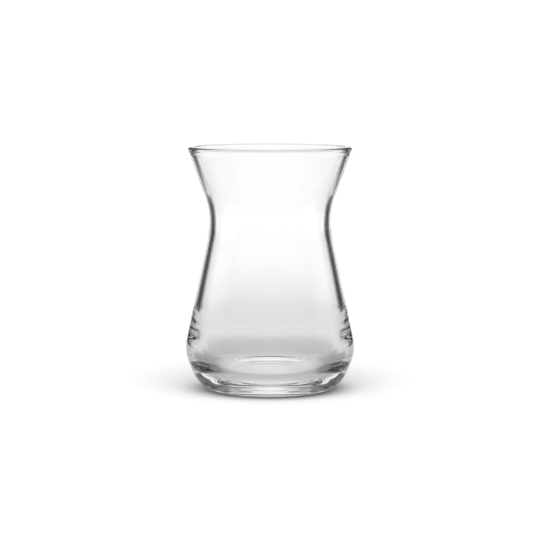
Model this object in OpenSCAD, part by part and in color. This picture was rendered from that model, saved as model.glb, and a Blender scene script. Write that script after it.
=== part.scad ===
// A waisted tea glass, blown in one piece with a heavy base.
// It stands on the plane Z = 0 with its axis on Z.
// The whole glass is one closed outline, in millimetres, turned about the axis.

/* [Overall] */
// Height from the table to the top of the lip
glass_h = 90; // [86:1:95]
// Curve quality: the turn covered by one straight step of a rounding, in degrees
round_step = 4; // [3:1:9]

/* [Outer wall] */
// Diameter of the flared wall where it would reach the full height
flare_d = 61.2; // [59.2:0.2:62.2]
// Diameter at the waist, where the upper and lower walls would meet sharp
waist_corner_d = 43.1; // [41.1:0.2:44.1]
// Height of that waist corner
waist_corner_z = 64.2; // [62.2:0.2:66]
// Radius that rounds the waist on the outside
waist_round = 28.6; // [20:0.2:32]
// Diameter at the belly, where the lower wall and the heel would meet sharp
belly_corner_d = 63.6; // [62.6:0.2:64.4]
// Height of that belly corner
belly_corner_z = 14.6; // [13.6:0.2:16]
// Radius that rounds the belly
belly_round = 15; // [12:0.5:17]

/* [Heel and foot] */
// Diameter at the heel, where the belly turns in under the glass
heel_corner_d = 56.2; // [55.2:0.2:57]
// Height of that heel corner
heel_corner_z = 5.2; // [4.8:0.1:5.6]
// Radius that rounds the heel
heel_round = 15; // [10:0.5:15.5]
// Diameter at the sole, where the heel turns level towards the table
sole_corner_d = 49.2; // [48.4:0.2:50]
// Height of that sole corner
sole_corner_z = 1.2; // [1:0.1:1.4]
// Radius that rounds the sole
sole_round = 6; // [3:0.5:6.5]
// Diameter at which the sole would meet the table
foot_corner_d = 41; // [40:0.2:42]
// Radius that rounds the edge of the foot
foot_round = 11; // [5:0.5:12]
// Inner diameter of the flat ring that the glass stands on
foot_ring_d = 24; // [20:1:30]
// Depth of the hollow under the base, inside the ring
punt_depth = 0.2; // [0.1:0.1:1]

/* [Inner wall] */
// Thickness of the flared wall just below the lip, measured level
lip_wall = 1.9; // [1.6:0.1:2.2]
// Level thickness at the waist, between the two sharp waist corners
waist_wall = 2.3; // [1.9:0.1:2.6]
// How far the inner waist corner sits above the outer one
inner_waist_rise = 0.5; // [0:0.1:1]
// Radius that rounds the waist on the inside
inner_waist_round = 32.5; // [22:0.5:36]
// Diameter of the bowl where its wall turns upright
bowl_d = 53.6; // [51.6:0.2:54]
// Height at which it does
bowl_z = 27; // [25:0.5:29]
// Radius of that turn
bowl_round = 48; // [12:2:50]
// Diameter at which the bowl's wall would meet its floor
floor_corner_d = 53.6; // [51.6:0.2:54]
// Thickness of the base at the edge of the bowl's floor
base_t = 6.2; // [5.6:0.1:8]
// Radius that rounds the bowl into its floor
floor_round = 11.6; // [8:0.2:12.4]
// How far the middle of the floor dips below its edge
floor_dish = 0.9; // [0:0.1:1.2]

/* [Lip bead] */
// Height of the fire-polished bead along the lip
bead_h = 1.7; // [1.4:0.1:2]
// How far the bead stands proud of the wall on either side
bead_proud = 0.16; // [0.1:0.02:0.24]
// Height over which the wall swells into the bead
bead_neck = 1; // [0.8:0.1:1.4]

/* [Hidden] */
$fn = 180;

// Share of the bead's width that each upper corner is rounded by
BEAD_SHARE = 0.46;

// Level distance that the flared wall moves out for each millimetre up
flare_slope = (flare_d - waist_corner_d) / 2 / (glass_h - waist_corner_z);

// Radius of the flared wall's outer side at height z
function flare_r(z) = flare_d / 2 - flare_slope * (glass_h - z);

// The corners of an outline are [radius, height, rounding].
outer_corners = [
    [foot_corner_d / 2, 0, foot_round],
    [sole_corner_d / 2, sole_corner_z, sole_round],
    [heel_corner_d / 2, heel_corner_z, heel_round],
    [belly_corner_d / 2, belly_corner_z, belly_round],
    [waist_corner_d / 2, waist_corner_z, waist_round]
];

bead_low = glass_h - bead_h;
neck_z = bead_low - bead_neck;
bead_w = lip_wall + 2 * bead_proud;
bead_corners = [
    [flare_r(neck_z), neck_z, bead_neck],
    [flare_r(bead_low) + bead_proud, bead_low, bead_neck / 2],
    [flare_r(glass_h) + bead_proud - flare_slope * bead_h / 2, glass_h, bead_w * BEAD_SHARE],
    [flare_r(glass_h) - lip_wall - bead_proud - flare_slope * bead_h / 2, glass_h, bead_w * BEAD_SHARE],
    [flare_r(bead_low) - lip_wall - bead_proud, bead_low, bead_neck / 2],
    [flare_r(neck_z) - lip_wall, neck_z, bead_neck]
];

inner_corners = [
    [waist_corner_d / 2 - waist_wall, waist_corner_z + inner_waist_rise, inner_waist_round],
    [bowl_d / 2, bowl_z, bowl_round],
    [floor_corner_d / 2, base_t, floor_round]
];

// Unit vector from point a to point b
function toward(a, b) = (b - a) / norm(b - a);

function at(c) = [c[0], c[1]];

// Points of the arc that rounds corner b, which lies between corners a and c.
// Its centre is on the corner's bisector, and it touches both sides.
function rounded(a, b, c) =
    let (
        back = toward(at(b), at(a)),
        ahead = toward(at(b), at(c)),
        half = acos(back * ahead) / 2,
        centre = at(b) + toward([0, 0], back + ahead) * b[2] / sin(half),
        first = at(b) + back * b[2] / tan(half) - centre,
        turn = 180 - 2 * half,
        side = sign(back[0] * ahead[1] - back[1] * ahead[0]),
        steps = ceil(turn / round_step)
    )
    [for (i = [0:steps])
        let (w = -side * turn * i / steps)
        centre + [first[0] * cos(w) - first[1] * sin(w), first[0] * sin(w) + first[1] * cos(w)]];

// Points of a shallow bowl, from the axis out to its edge. Its height falls off from
// its rise on the axis with the square of the radius.
ARC_STEPS = 16;

function shallow_arc(radius, edge_z, rise) =
    [for (i = [0:ARC_STEPS])
        let (share = i / ARC_STEPS)
        [radius * share, edge_z + rise * (1 - share * share)]];

// The wall's section: from the foot ring up the outside, over the lip and down to the floor's edge.
function wall() =
    let (
        corners = concat(outer_corners, bead_corners, inner_corners),
        ring = concat([[foot_ring_d / 2, 0]], corners, [[0, base_t]])
    )
    [for (i = [1:len(corners)]) each rounded(ring[i - 1], ring[i], ring[i + 1])];

// Half of the glass's section: out along the underside, round the wall and back along the floor.
function section() =
    let (
        side = wall(),
        under = shallow_arc(foot_ring_d / 2, 0, punt_depth),
        floor_arc = shallow_arc(side[len(side) - 1][0], base_t, -floor_dish)
    )
    concat(under, side, [for (i = [ARC_STEPS - 1:-1:0]) floor_arc[i]]);

module tea_glass() {
    color([0.93, 0.96, 0.95, 0.35])
        rotate_extrude()
            polygon(section());
}

tea_glass();
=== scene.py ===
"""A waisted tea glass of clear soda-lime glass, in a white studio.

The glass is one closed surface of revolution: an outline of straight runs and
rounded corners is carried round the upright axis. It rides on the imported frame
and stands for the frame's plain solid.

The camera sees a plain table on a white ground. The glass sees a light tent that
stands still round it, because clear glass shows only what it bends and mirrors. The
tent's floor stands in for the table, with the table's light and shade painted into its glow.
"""

import math

import bpy
import numpy as np
from bpy.props import FloatProperty, IntProperty, PointerProperty, StringProperty
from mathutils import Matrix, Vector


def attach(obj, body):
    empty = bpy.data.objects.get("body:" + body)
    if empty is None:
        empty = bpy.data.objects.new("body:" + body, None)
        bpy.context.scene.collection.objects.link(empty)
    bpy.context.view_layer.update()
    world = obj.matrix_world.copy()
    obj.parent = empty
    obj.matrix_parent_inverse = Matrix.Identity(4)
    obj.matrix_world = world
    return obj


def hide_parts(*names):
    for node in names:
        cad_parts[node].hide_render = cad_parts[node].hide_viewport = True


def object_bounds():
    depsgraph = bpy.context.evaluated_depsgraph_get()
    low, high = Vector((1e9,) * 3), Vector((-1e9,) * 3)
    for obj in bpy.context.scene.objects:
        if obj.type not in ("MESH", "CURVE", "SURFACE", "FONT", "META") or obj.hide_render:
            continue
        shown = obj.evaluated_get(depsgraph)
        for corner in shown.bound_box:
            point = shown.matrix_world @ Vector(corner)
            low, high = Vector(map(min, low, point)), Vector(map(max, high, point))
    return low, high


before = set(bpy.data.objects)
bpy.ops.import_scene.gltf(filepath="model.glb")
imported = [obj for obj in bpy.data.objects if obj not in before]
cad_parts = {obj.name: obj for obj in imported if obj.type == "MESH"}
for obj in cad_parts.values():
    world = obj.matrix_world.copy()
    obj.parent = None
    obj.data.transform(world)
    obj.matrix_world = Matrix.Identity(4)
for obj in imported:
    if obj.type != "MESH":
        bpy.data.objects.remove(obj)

bl_info = {
    "name": "Tea Glass",
    "version": (1, 0, 0),
    "blender": (4, 5, 0),
    "location": "3D View > Sidebar > Tea Glass",
    "description": "Builds a waisted tea glass and the white studio it stands in",
    "category": "Add Mesh",
}

CAD_LOW, CAD_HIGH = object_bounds()
CAD_HEIGHT = CAD_HIGH.z - CAD_LOW.z
NODE = "tea_glass"
PIECE = "tea_glass_body"
BODY = "root"
MM = 0.001

# Share of the bead's width that each of its upper corners is rounded by
BEAD_SHARE = 0.46

# The tent lies this far under the table top, so that the two never meet
TENT_DROP = 0.1 * MM

# Where the tent's glow changes. A step is (start, end), and a band is (start, full, still
# full, end). Turns and climbs are in degrees, and distances in metres from the axis.
# The next four set the table's light and shade painted on the tent's floor: painted shade round the foot,
# painted light further off, and darker well in front.
PAINTED_SHADE_STEP = (15 * MM, 21 * MM)
NEAR_STEP = (27 * MM, 69 * MM)
FAR_STEP = (90 * MM, 550 * MM)
FRONT_STEP = (300 * MM, 700 * MM)
FRONT_TURNS = (80, 120)
# Painted shade: a strip on either side of the foot, darker in the tent floor's glow
PAINTED_STRIP_BAND = (22 * MM, 25 * MM, 43 * MM, 52 * MM)
PAINTED_STRIP_TURNS = (55, 68, 118, 132)
CORNER_TURNS = (29, 42)
SIDE_TURNS = (100, 130)
ROOF_GAP_TURNS = (34, 45, 118, 150)
SIDE_PANEL_TURNS = (55, 80, 100, 125)
SIDE_PANEL_CLIMBS = (3, 20)

# How far the black cards' edges blur either way, in degrees
CARD_NEAR_BLUR = 2
CARD_FAR_BLUR = 7


# Settings ------------------------------------------------------------------


def length(name, description, metres):
    """A length property."""
    return FloatProperty(name=name, description=description, default=metres, unit="LENGTH", precision=5)


def mm(name, description, millimetres):
    """A length property whose default is given in millimetres."""
    return length(name, description, millimetres * MM)


def amount(name, description, value):
    """A plain number."""
    return FloatProperty(name=name, description=description, default=value, precision=4)


def angle(name, description, degrees):
    """An angle property whose default is given in degrees."""
    return FloatProperty(name=name, description=description, default=math.radians(degrees), subtype="ANGLE")


def colour(name, description, hex_colour):
    """A colour property, kept as an sRGB hex colour."""
    return StringProperty(name=name, description=description, default=hex_colour)


class GlassShape(bpy.types.PropertyGroup):
    """The outline's driving sizes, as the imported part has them."""

    height: length("Height", "From the table to the top of the lip", CAD_HEIGHT)
    flare_d: mm("Flare diameter", "Outer wall carried up to the full height", 61.2)
    waist_corner_d: mm("Waist diameter", "Where the upper and lower walls would meet sharp", 43.1)
    waist_corner_z: mm("Waist height", "Height of that corner", 64.2)
    waist_round: mm("Waist rounding", "Radius of the waist on the outside", 28.6)
    belly_corner_d: mm("Belly diameter", "Where the lower wall and the heel would meet sharp", 63.6)
    belly_corner_z: mm("Belly height", "Height of that corner", 14.6)
    belly_round: mm("Belly rounding", "Radius of the belly", 15)
    heel_corner_d: mm("Heel diameter", "Where the belly turns in under the glass", 56.2)
    heel_corner_z: mm("Heel height", "Height of that corner", 5.2)
    heel_round: mm("Heel rounding", "Radius of the heel", 15)
    sole_corner_d: mm("Sole diameter", "Where the heel turns towards the table", 49.2)
    sole_corner_z: mm("Sole height", "Height of that corner", 1.2)
    sole_round: mm("Sole rounding", "Radius of that turn", 6)
    foot_corner_d: mm("Foot diameter", "Where the sole would meet the table", 41)
    foot_round: mm("Foot rounding", "Radius of the foot's edge", 11)
    foot_ring_d: mm("Foot ring", "Inner diameter of the flat ring it stands on", 24)
    punt_depth: mm("Punt depth", "Hollow under the base, inside the ring", 0.2)
    lip_wall: mm("Wall at the lip", "Level thickness just below the bead", 1.9)
    waist_wall: mm("Wall at the waist", "Level thickness between the sharp waist corners", 2.3)
    inner_waist_rise: mm("Inner waist rise", "How far the inner waist corner sits above the outer", 0.5)
    inner_waist_round: mm("Inner waist rounding", "Radius of the waist on the inside", 32.5)
    bowl_d: mm("Bowl diameter", "Inside, where the wall turns upright", 53.6)
    bowl_z: mm("Bowl height", "Height of that turn", 27)
    bowl_round: mm("Bowl rounding", "Radius of that turn", 48)
    floor_corner_d: mm("Floor diameter", "Inside, where wall and floor would meet sharp", 53.6)
    base_t: mm("Base thickness", "Solid glass under the edge of the bowl's floor", 6.2)
    floor_round: mm("Floor rounding", "Radius between the bowl's wall and floor", 11.6)
    floor_dish: mm("Floor dish", "How far the middle of the bowl's floor lies below its edge", 0.9)
    bead_h: mm("Bead height", "Height of the fire-polished bead", 1.7)
    bead_proud: mm("Bead proud", "How far the bead stands out on either side", 0.16)
    bead_neck: mm("Bead neck", "Height over which the wall swells into the bead", 1)
    segments: IntProperty(name="Segments", description="Steps round the glass", default=224)
    ring_gap: mm("Ring gap", "Distance between rings along the outline", 0.7)


class GlassFinish(bpy.types.PropertyGroup):
    """What the glass is, and how true its surface is."""

    ior: amount("IOR", "Refractive index of soda-lime glass", 1.52)
    tint: colour("Tint", "sRGB hex colour left after the tint depth", "#F3F4F4")
    tint_depth: mm("Tint depth", "Thickness of glass that shows the tint in full", 60)
    ripple_width: mm("Ripple width", "Width of the soft waves that blowing leaves", 9)
    ripple_height: mm("Ripple height", "Height of those waves", 0.012)


class LightTent(bpy.types.PropertyGroup):
    """The tent that the glass sees round it. Its floor's glow is the table's light and shade,
    painted. Turns are measured from straight behind the glass, and climbs from the table.
    A glow of 1 is paper white."""

    radius: length("Tent radius", "From the glass to the tent's wall", 3.0)
    panel_core: angle("Panel core", "Turn up to which the back panel is fully lit", 11.6)
    panel_edge: angle("Panel edge", "Turn at which the panel ends", 15.8)
    panel_glow: amount("Panel glow", "Brightness of the panel, and of the low panels at the sides", 1.0)
    wall_glow: amount("Wall glow", "Brightness of the dark wall beside the panel", 0.05)
    corner_glow: amount("Corner glow", "Brightness of the wall past the black cards", 0.08)
    side_glow: amount("Side glow", "Brightness of the cloth in front of the glass", 0.45)
    roof_foot: angle("Roof foot", "Climb at which the roof's light begins", 20)
    roof_full: angle("Roof full", "Climb at which it is full", 63)
    roof_glow: amount("Roof glow", "Brightness of the roof", 0.98)
    roof_gap: amount("Roof gap", "Share of it that is missing over the sides", 0.73)
    # Under, foot, near, far and front set the table's light and shade painted on the tent's floor: painted
    # light under the glass, painted shade round the foot, painted light further off, darker well in front.
    under_glow: amount("Under glow", "Brightness of the table under the glass", 0.7)
    painted_foot_shade: amount("Foot glow", "Brightness in the shade round the foot", 0.52)
    near_glow: amount("Near glow", "Brightness a hand's breadth away", 0.79)
    far_glow: amount("Far glow", "Brightness further off", 1.07)
    front_glow: amount("Front glow", "Brightness of the table well in front of the glass", 0.66)
    # Painted shade: how much the strips on either side of the foot darken the glow
    painted_strip_depth: amount("Strip depth", "Share of light lost to the strips on either side of the foot", 0.42)
    card_from: angle("Card from", "Turn at which a black card begins", 23.2)
    card_to: angle("Card to", "Turn at which it ends", 51)
    card_front: mm("Card front", "Where the cards begin, from the glass", 200)
    card_full: mm("Card full", "Where they have their full depth", 330)
    card_depth: amount("Card depth", "Share of light lost to the cards", 0.95)


class Studio(bpy.types.PropertyGroup):
    """The floor, the lights and the camera."""

    table_width: length("Table width", "Side of the square table top", 12.0)
    floor_colour: colour("Floor", "sRGB hex colour of the table top", "#C8C8C8")
    grain_width: mm("Grain width", "Width of the laminate's fine grain", 1.5)
    grain_height: mm("Grain height", "Height of that grain", 0.02)
    sky: amount("White ground", "Brightness of the white all round", 1.05)
    key_power: amount("Key light", "Strength of the soft light from above, in watts per square metre", 3.1)
    key_softness: angle("Key softness", "Angle that the light's disc fills in the sky", 58)
    key_lean: angle("Key lean", "How far it leans from overhead towards the camera", 25)
    camera_distance: mm("Camera distance", "Level distance from the glass's axis", 800)
    camera_height: mm("Camera height", "Above the table", 125.4)
    camera_pitch: angle("Camera pitch", "How far the camera looks down", 5.787)
    camera_lens: amount("Lens", "Focal length in millimetres", 144.8)


# Surfaces ------------------------------------------------------------------


def rounded(before, corner, after, radius, gap, step=math.radians(3)):
    """Points of the arc that rounds a corner. Its centre lies on the corner's bisector,
    at radius / sin(half the corner's angle), and it touches both sides. No two points are
    further apart than the gap, nor than the step in turn."""
    before, corner, after = (np.array(p[:2], float) for p in (before, corner, after))
    back = (before - corner) / np.linalg.norm(before - corner)
    ahead = (after - corner) / np.linalg.norm(after - corner)
    half = math.acos(float(back @ ahead)) / 2
    bisector = (back + ahead) / np.linalg.norm(back + ahead)
    centre = corner + bisector * radius / math.sin(half)
    first = corner + back * radius / math.tan(half) - centre
    turn = math.pi - 2 * half
    side = np.sign(back[0] * ahead[1] - back[1] * ahead[0])
    w = -side * np.linspace(0, turn, math.ceil(max(turn / step, turn * radius / gap, 3)) + 1)
    x = first[0] * np.cos(w) - first[1] * np.sin(w)
    z = first[0] * np.sin(w) + first[1] * np.cos(w)
    return centre + np.stack([x, z], 1)


def outline(s):
    """The closed half section as (radius, height) points, from the middle of the underside,
    out and up the outside, over the lip, down the inside and back to the axis."""
    slope = (s.flare_d - s.waist_corner_d) / 2 / (s.height - s.waist_corner_z)

    def flare(z):
        return s.flare_d / 2 - slope * (s.height - z)

    low = s.height - s.bead_h
    neck = low - s.bead_neck
    lean = slope * s.bead_h / 2
    bead_round = (s.lip_wall + 2 * s.bead_proud) * BEAD_SHARE
    corners = [
        (s.foot_ring_d / 2, 0, 0),
        (s.foot_corner_d / 2, 0, s.foot_round),
        (s.sole_corner_d / 2, s.sole_corner_z, s.sole_round),
        (s.heel_corner_d / 2, s.heel_corner_z, s.heel_round),
        (s.belly_corner_d / 2, s.belly_corner_z, s.belly_round),
        (s.waist_corner_d / 2, s.waist_corner_z, s.waist_round),
        (flare(neck), neck, s.bead_neck),
        (flare(low) + s.bead_proud, low, s.bead_neck / 2),
        (flare(s.height) + s.bead_proud - lean, s.height, bead_round),
        (flare(s.height) - s.lip_wall - s.bead_proud - lean, s.height, bead_round),
        (flare(low) - s.lip_wall - s.bead_proud, low, s.bead_neck / 2),
        (flare(neck) - s.lip_wall, neck, s.bead_neck),
        (s.waist_corner_d / 2 - s.waist_wall, s.waist_corner_z + s.inner_waist_rise, s.inner_waist_round),
        (s.bowl_d / 2, s.bowl_z, s.bowl_round),
        (s.floor_corner_d / 2, s.base_t, s.floor_round),
        (0, s.base_t, 0),
    ]
    arcs = [rounded(a, b, c, b[2], s.ring_gap) for a, b, c in zip(corners, corners[1:], corners[2:])]
    wall = np.concatenate([[corners[0][:2]], *arcs])
    under = shallow_arc(s.foot_ring_d / 2, 0, s.punt_depth)[:-1]
    floor = shallow_arc(wall[-1, 0], s.base_t, -s.floor_dish)[::-1][1:]
    return np.concatenate([under, wall, floor])


def shallow_arc(radius, edge_z, rise, count=24):
    """Points from the axis to the edge of a shallow bowl. The height falls off from
    its rise on the axis as 1 minus the square of the share of the radius."""
    share = np.linspace(0, 1, count)
    return np.stack([radius * share, edge_z + rise * (1 - share**2)], 1)


def spaced(points, gap):
    """The same outline with straight runs cut into steps no longer than the gap."""
    steps = np.linalg.norm(np.diff(points, axis=0), axis=1)
    along = np.concatenate([[0], np.cumsum(steps)])
    cuts = np.maximum(1, np.ceil(steps / gap)).astype(int)
    at = np.concatenate([a + d * np.arange(n) / n for a, d, n in zip(along, steps, cuts)] + [along[-1:]])
    return np.stack([np.interp(at, along, points[:, k]) for k in (0, 1)], 1)


def turned_mesh(name, profile, segments):
    """A surface of revolution. Point (i, j) is profile point i turned by j steps about Z:
    (r cos a, r sin a, z). The first and last points lie on the axis and close the poles."""
    a = np.arange(segments) * 2 * math.pi / segments
    r, z = profile[1:-1, :1], profile[1:-1, 1:]
    grid = np.stack([r * np.cos(a), r * np.sin(a), np.broadcast_to(z, (len(z), segments))], -1)
    poles = [[0, 0, profile[0, 1]], [0, 0, profile[-1, 1]]]
    verts = np.concatenate([grid.reshape(-1, 3), poles])
    rows = len(profile) - 2
    i, j = np.meshgrid(np.arange(rows - 1), np.arange(segments), indexing="ij")
    k = (j + 1) % segments
    near, far = i * segments, (i + 1) * segments
    quads = np.stack([near + j, near + k, far + k, far + j], -1)
    here = np.arange(segments)
    on = (here + 1) % segments
    last = (rows - 1) * segments
    below = np.stack([np.full(segments, len(verts) - 2), on, here], -1)
    above = np.stack([np.full(segments, len(verts) - 1), last + here, last + on], -1)
    mesh = bpy.data.meshes.new(name)
    mesh.from_pydata(verts, [], [*below.tolist(), *quads.reshape(-1, 4).tolist(), *above.tolist()])
    mesh.shade_smooth()
    return mesh


# Materials -----------------------------------------------------------------


def linear(hex_colour):
    """An sRGB hex colour as linear RGBA."""
    srgb = np.array([int(hex_colour[i : i + 2], 16) / 255 for i in (1, 3, 5)])
    rgb = np.where(srgb <= 0.04045, srgb / 12.92, ((srgb + 0.055) / 1.055) ** 2.4)
    return (*rgb.tolist(), 1.0)


def add(tree, kind, inputs=None, **settings):
    """Adds a node. An input given as a socket is linked, and any other is set."""
    node = tree.nodes.new(kind)
    for key, value in settings.items():
        setattr(node, key, value)
    for key, value in (inputs or {}).items():
        if isinstance(value, bpy.types.NodeSocket):
            tree.links.new(value, node.inputs[key])
        else:
            node.inputs[key].default_value = value
    return node


def blank_material(name):
    """A material with only its output node."""
    material = bpy.data.materials.new(name)
    material.use_nodes = True
    tree = material.node_tree
    tree.nodes.clear()
    return material, tree, tree.nodes.new("ShaderNodeOutputMaterial")


def soda_lime_glass(f):
    """Clear soda-lime glass, blown and fire-polished. The eye gets a mirror-smooth skin,
    dark edges where the wall turns away, and soft waves that bend what lies behind."""
    material, tree, out = blank_material("fire_polished_soda_lime_glass")
    place = add(tree, "ShaderNodeTexCoord").outputs["Object"]
    waves = add(
        tree,
        "ShaderNodeTexNoise",
        {"Vector": place, "Scale": 1 / f.ripple_width, "Detail": 1.0, "Roughness": 0.4},
    )
    bump = add(
        tree,
        "ShaderNodeBump",
        {"Height": waves.outputs["Fac"], "Strength": 1.0, "Distance": f.ripple_height},
    )
    skin = add(
        tree,
        "ShaderNodeBsdfPrincipled",
        {
            "Base Color": (1, 1, 1, 1),
            "Roughness": 0.0,
            "IOR": f.ior,
            "Transmission Weight": 1.0,
            "Normal": bump.outputs["Normal"],
        },
    )
    body = add(tree, "ShaderNodeVolumeAbsorption", {"Color": linear(f.tint), "Density": 1 / f.tint_depth})
    tree.links.new(skin.outputs["BSDF"], out.inputs["Surface"])
    tree.links.new(body.outputs["Volume"], out.inputs["Volume"])
    return material


def studio_floor(s):
    """White laminate table top, matt enough to show only the soft shadow."""
    material, tree, out = blank_material("matt_white_laminate")
    place = add(tree, "ShaderNodeTexCoord").outputs["Object"]
    grain = add(tree, "ShaderNodeTexNoise", {"Vector": place, "Scale": 1 / s.grain_width, "Detail": 2.0})
    bump = add(
        tree,
        "ShaderNodeBump",
        {"Height": grain.outputs["Fac"], "Strength": 0.1, "Distance": s.grain_height},
    )
    skin = add(
        tree,
        "ShaderNodeBsdfPrincipled",
        {
            "Base Color": linear(s.floor_colour),
            "Roughness": 0.9,
            "Specular IOR Level": 0.0,
            "Normal": bump.outputs["Normal"],
        },
    )
    tree.links.new(skin.outputs["BSDF"], out.inputs["Surface"])
    return material


def lit_cloth_and_painted_table():
    """Tent cloth with light behind it, and on the tent's floor the table's light and shade, painted. Each
    point glows as bright as its glow attribute says.
    """
    material, tree, out = blank_material("lit_tent_cloth_and_painted_table")
    glow = add(tree, "ShaderNodeAttribute", attribute_name="glow").outputs["Fac"]
    light = add(tree, "ShaderNodeEmission", {"Strength": glow})
    tree.links.new(light.outputs["Emission"], out.inputs["Surface"])
    material.cycles.emission_sampling = "NONE"
    return material


# Studio --------------------------------------------------------------------


def ease(low, high, x):
    """0 below low, 1 above high, and a smooth S between them."""
    t = np.clip((x - low) / (high - low), 0, 1)
    return t * t * (3 - 2 * t)


def between(a, b, c, d, x):
    """0 outside a to d, 1 from b to c, smooth at both ends."""
    return ease(a, b, x) * (1 - ease(c, d, x))


def painted_table_glow(t, turn, away):
    """Glow of the tent's floor, at a turn in degrees and a distance away in metres: the table's
    light and shade, painted. From the axis out it dips in a painted shade round the foot and
    climbs again, and it is dimmer far out in front. That is multiplied by what a black card
    on either side behind the glass, and a strip of painted shade on either side of the foot,
    leave of it."""
    # Painted light of the table under the glass, then painted shade round the foot that fades further out
    glow = t.under_glow + (t.painted_foot_shade - t.under_glow) * ease(*PAINTED_SHADE_STEP, away)
    glow = glow + (t.near_glow - t.painted_foot_shade) * ease(*NEAR_STEP, away)
    glow = glow + (t.far_glow - t.near_glow) * ease(*FAR_STEP, away)
    glow = glow + (t.front_glow - glow) * ease(*FRONT_TURNS, turn) * ease(*FRONT_STEP, away)
    first, last = np.degrees((t.card_from, t.card_to))
    blurred = (first - CARD_NEAR_BLUR, first + CARD_NEAR_BLUR, last - CARD_FAR_BLUR, last + CARD_FAR_BLUR)
    card = between(*blurred, turn) * ease(t.card_front, t.card_full, away)
    # Painted shade in a strip on either side of the foot
    painted_strip = between(*PAINTED_STRIP_TURNS, turn) * between(*PAINTED_STRIP_BAND, away)
    return glow * (1 - t.card_depth * card) * (1 - t.painted_strip_depth * painted_strip)


def sky_glow(t, turn, climb):
    """Glow of the tent's wall and roof, at a turn and a climb in degrees: whichever is
    brightest of the panel behind the glass, the roof, the cloth of the walls, and the low
    panel at each side."""
    core, edge, foot, full = np.degrees((t.panel_core, t.panel_edge, t.roof_foot, t.roof_full))
    panel = t.panel_glow * (1 - ease(core, edge, turn))
    roof = t.roof_glow * ease(foot, full, climb) * (1 - t.roof_gap * between(*ROOF_GAP_TURNS, turn))
    corner = (t.corner_glow - t.wall_glow) * ease(*CORNER_TURNS, turn)
    wall = t.wall_glow + corner + (t.side_glow - t.corner_glow) * ease(*SIDE_TURNS, turn)
    side_panel = t.panel_glow * between(*SIDE_PANEL_TURNS, turn) * (1 - ease(*SIDE_PANEL_CLIMBS, climb))
    return np.maximum.reduce([panel, roof, wall, side_panel])


def tent_mesh(t, sides=360, rings=90, rises=60):
    """A closed tent round the origin: a flat disc, then a dome. Point (i, j) is turned by j
    steps. The disc's rings widen in equal ratios, and the dome's climb in equal angles."""
    disc = np.geomspace(4 * MM, t.radius, rings)
    climb = np.radians(np.linspace(0, 90, rises + 1))[1:-1]
    r = np.concatenate([[0], disc, t.radius * np.cos(climb), [0]])
    z = np.concatenate([[0], disc * 0, t.radius * np.sin(climb), [t.radius]])
    mesh = turned_mesh("light_tent_with_painted_table", np.stack([r, z], 1), sides)
    at = np.zeros(len(mesh.vertices) * 3)
    mesh.vertices.foreach_get("co", at)
    x, y, z = at.reshape(-1, 3).T
    turn = np.degrees(np.abs(np.arctan2(x, y)))
    away = np.hypot(x, y)
    walls = sky_glow(t, turn, np.degrees(np.arctan2(z, away)))
    # On the floor the glow is the table's painted light and shade
    glow = np.where(z > 0, walls, painted_table_glow(t, turn, away))
    mesh.attributes.new("glow", "FLOAT", "POINT").data.foreach_set("value", glow.astype(np.float32))
    return mesh


def put(name, mesh, material):
    """Links a mesh into the scene as an object at the origin."""
    mesh.materials.append(material)
    thing = bpy.data.objects.new(name, mesh)
    bpy.context.scene.collection.objects.link(thing)
    return thing


class TEAGLASS_OT_body(bpy.types.Operator):
    """Make the glass, which rides on the frame in place of its plain solid"""

    bl_idname = "teaglass.body"
    bl_label = "Glass Body"

    def execute(self, context):
        shape, finish = context.scene.teaglass_shape, context.scene.teaglass_finish
        mesh = turned_mesh(PIECE, spaced(outline(shape), shape.ring_gap), shape.segments)
        glass = put(PIECE, mesh, soda_lime_glass(finish))
        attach(glass, BODY)
        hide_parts(NODE)
        return {"FINISHED"}


class TEAGLASS_OT_studio(bpy.types.Operator):
    """Make the floor, the white ground, the light tent and the camera"""

    bl_idname = "teaglass.studio"
    bl_label = "Studio"

    def execute(self, context):
        scene, s = context.scene, context.scene.teaglass_studio
        make_camera(scene, s)
        make_floor(s)
        make_tent(scene.teaglass_tent)
        make_lights(scene, s)
        scene.view_settings.view_transform = "Standard"
        # Light in the wall and the heavy base is turned back many times before it leaves
        scene.cycles.max_bounces = 32
        scene.cycles.transmission_bounces = 32
        scene.cycles.glossy_bounces = 16
        return {"FINISHED"}


def make_camera(scene, s):
    """A long lens in front of the glass, a little above its lip and looking slightly down."""
    data = bpy.data.cameras.new("camera")
    data.lens = s.camera_lens
    data.sensor_width = 36
    data.clip_start, data.clip_end = 0.01, 100
    camera = bpy.data.objects.new("camera", data)
    scene.collection.objects.link(camera)
    camera.location = (0, -s.camera_distance, s.camera_height)
    camera.rotation_euler = (math.pi / 2 - s.camera_pitch, 0, 0)
    scene.camera = camera


def make_floor(s):
    """The table top that the camera sees, as one square. The glass sees the tent's floor instead, where the
    table's light and shade are painted.
    """
    half = s.table_width / 2
    mesh = bpy.data.meshes.new("table_top")
    corners = [(-half, -half, 0), (half, -half, 0), (half, half, 0), (-half, half, 0)]
    mesh.from_pydata(corners, [], [(0, 1, 2, 3)])
    table = put("table_top", mesh, studio_floor(s))
    table.visible_transmission = False
    table.visible_glossy = False


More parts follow.
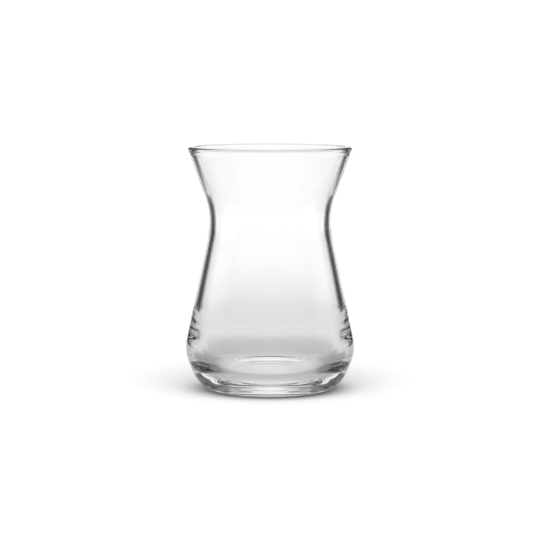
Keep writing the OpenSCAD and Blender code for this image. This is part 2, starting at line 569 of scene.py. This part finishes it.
def make_tent(t):
    """The tent is seen only through the glass and in it. Its floor stands in for the table, with the
    table's light and shade painted into its glow. It lies a hair under the table top.
    """
    tent = put("light_tent_with_painted_table", tent_mesh(t), lit_cloth_and_painted_table())
    tent.location.z = -TENT_DROP
    tent.visible_camera = False
    tent.visible_diffuse = False
    tent.visible_shadow = False


def make_lights(scene, s):
    """White all round, and a soft light overhead that draws the shadow on the table."""
    world = bpy.data.worlds.new("white_ground")
    world.use_nodes = True
    ground = world.node_tree.nodes["Background"]
    ground.inputs["Color"].default_value = (1, 1, 1, 1)
    ground.inputs["Strength"].default_value = s.sky
    scene.world = world
    data = bpy.data.lights.new("key_light", "SUN")
    data.energy = s.key_power
    data.angle = s.key_softness
    key = bpy.data.objects.new("key_light", data)
    scene.collection.objects.link(key)
    key.rotation_euler = (s.key_lean, 0, 0)
    key.visible_glossy = False
    key.visible_transmission = False


class TEAGLASS_PT_panel(bpy.types.Panel):
    """Lists the glass's and the studio's settings"""

    bl_idname = "TEAGLASS_PT_panel"
    bl_label = "Tea Glass"
    bl_space_type = "VIEW_3D"
    bl_region_type = "UI"
    bl_category = "Tea Glass"

    def draw(self, context):
        scene = context.scene
        for step, settings in (
            (TEAGLASS_OT_body, scene.teaglass_shape),
            (TEAGLASS_OT_body, scene.teaglass_finish),
            (TEAGLASS_OT_studio, scene.teaglass_tent),
            (TEAGLASS_OT_studio, scene.teaglass_studio),
        ):
            box = self.layout.box()
            for name in settings.__annotations__:
                box.prop(settings, name)
            box.operator(step.bl_idname)


GROUPS = {
    "teaglass_shape": GlassShape,
    "teaglass_finish": GlassFinish,
    "teaglass_tent": LightTent,
    "teaglass_studio": Studio,
}
CLASSES = (*GROUPS.values(), TEAGLASS_OT_body, TEAGLASS_OT_studio, TEAGLASS_PT_panel)


def register():
    """Registers the classes and hangs each group of settings on the scene."""
    for item in CLASSES:
        bpy.utils.register_class(item)
    for name, group in GROUPS.items():
        setattr(bpy.types.Scene, name, PointerProperty(type=group))


def unregister():
    """Takes away what register added, in the opposite order."""
    for name in GROUPS:
        delattr(bpy.types.Scene, name)
    for item in reversed(CLASSES):
        bpy.utils.unregister_class(item)


def main():
    """Makes the glass and its studio."""
    register()
    bpy.ops.teaglass.body()
    bpy.ops.teaglass.studio()


if __name__ == "__main__":
    main()
